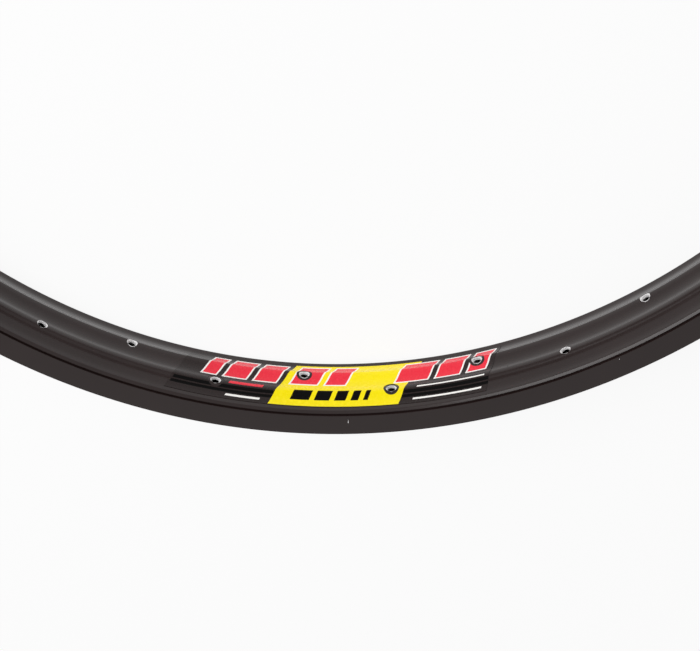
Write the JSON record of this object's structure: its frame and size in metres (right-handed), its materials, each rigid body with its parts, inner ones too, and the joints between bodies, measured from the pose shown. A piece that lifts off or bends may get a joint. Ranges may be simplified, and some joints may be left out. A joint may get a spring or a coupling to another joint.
{
  "type": "bicycle rim",
  "caption": "Double-wall bicycle rim: a painted aluminium hoop with staggered spoke holes, hooked flanges, nipple access holes, a valve hole and a sleeved butt joint under a decal.",
  "frame": {"origin": "centre of the hoop, on its middle plane", "axes": "+Z along the axle line, up as the rim lies on its side; -Y to the butt joint and +Y to the valve hole"},
  "size_m": [0.571, 0.571, 0.042],
  "materials": {
    "painted_rim": "satin black paint",
    "bare_sleeve": "as extruded",
    "decal_film": "printed film"
  },
  "bodies": {
    "root": {"rim": "painted_rim", "joint_sleeve": "bare_sleeve", "decal": "decal_film"}
  },
  "joints": []
}
